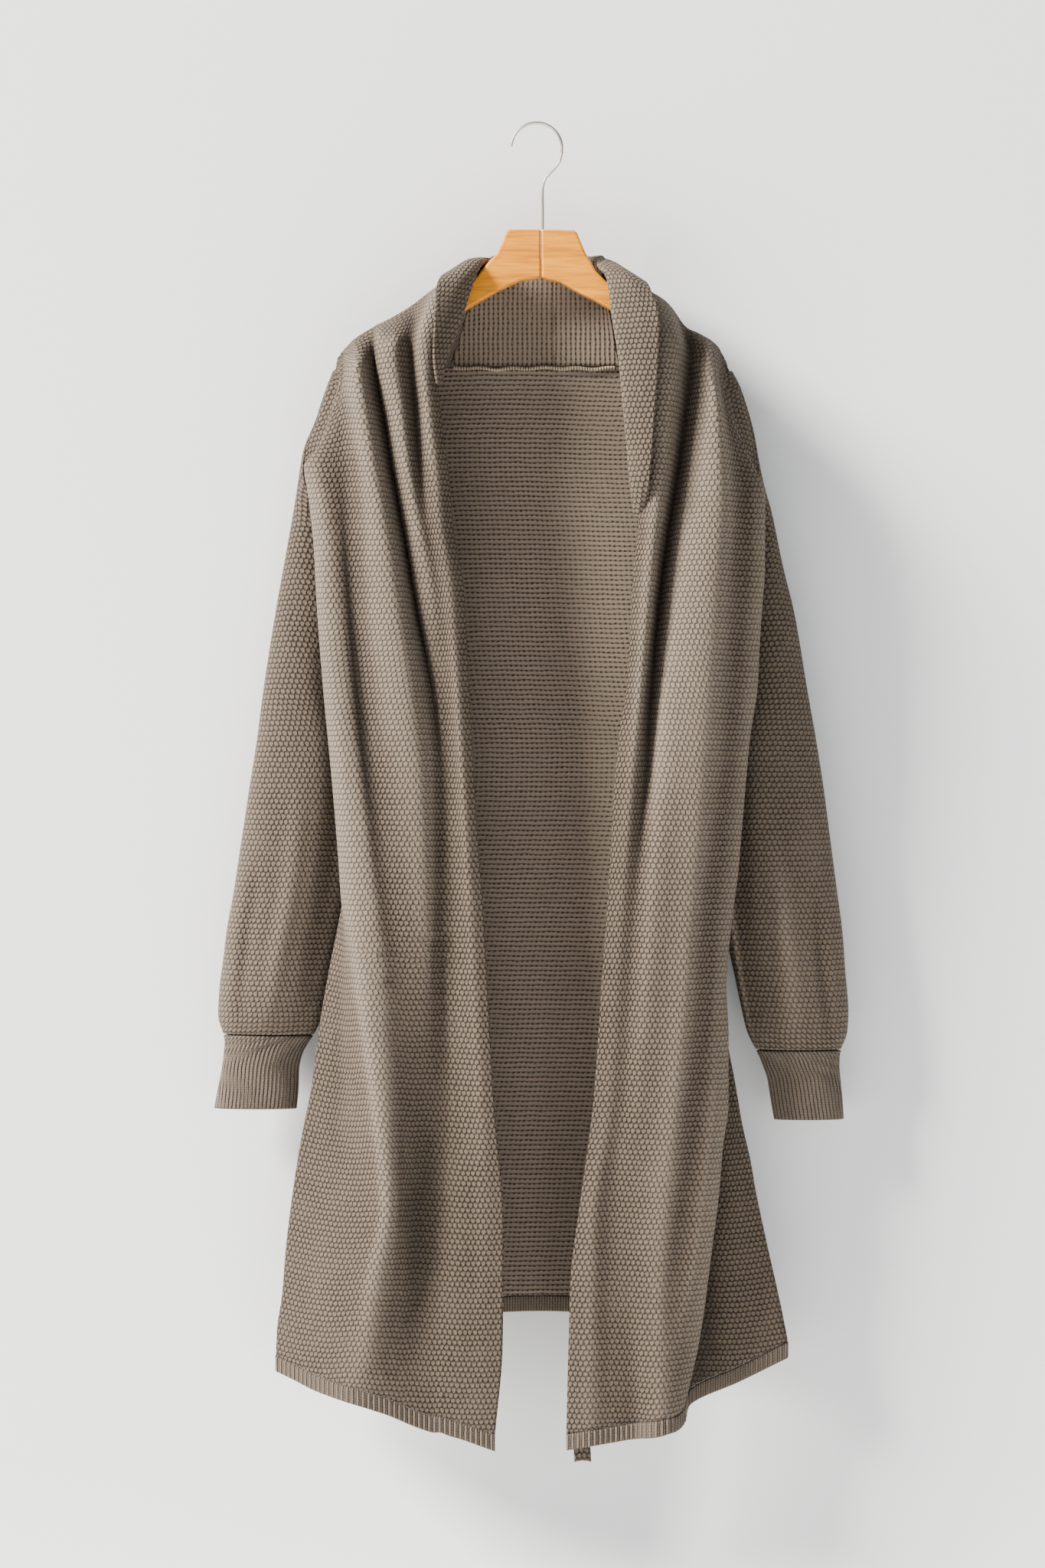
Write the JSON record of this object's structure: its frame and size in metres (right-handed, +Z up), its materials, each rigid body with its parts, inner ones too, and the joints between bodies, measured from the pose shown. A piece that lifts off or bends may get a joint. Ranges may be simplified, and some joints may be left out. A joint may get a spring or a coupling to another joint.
{
  "type": "open-front cardigan on a coat hanger",
  "caption": "Long open-front knitted cardigan with draped lapels, full sleeves and rib cuffs, hung on a wooden hanger with a wire hook.",
  "frame": {"origin": "inside top of the hook's bend, where a rail carries it", "axes": "+X to the viewer's right across the front, +Y from the open front to the back, +Z up"},
  "size_m": [0.5891, 0.1078, 1.222],
  "materials": {
    "knit": "soft taupe tuck-stitch knit",
    "rib": "fine taupe rib knit",
    "wood": "satin-varnished honey wood",
    "wire": "pale drawn wire"
  },
  "bodies": {
    "root": {"front_left": "knit", "front_right": "knit", "back_panel": "knit", "sleeve_left": "knit", "sleeve_right": "knit", "collar_stand_left": "knit", "collar_stand_right": "knit", "collar_fall_left": "knit", "collar_fall_right": "knit", "neck_seam": "rib", "cuff_left": "rib", "cuff_right": "rib", "hem_band_back": "rib", "hem_band_front_left": "rib", "hem_band_front_right": "rib", "hanger_left": "wood", "hanger_right": "wood", "hanger_hook": "wire"}
  },
  "joints": []
}
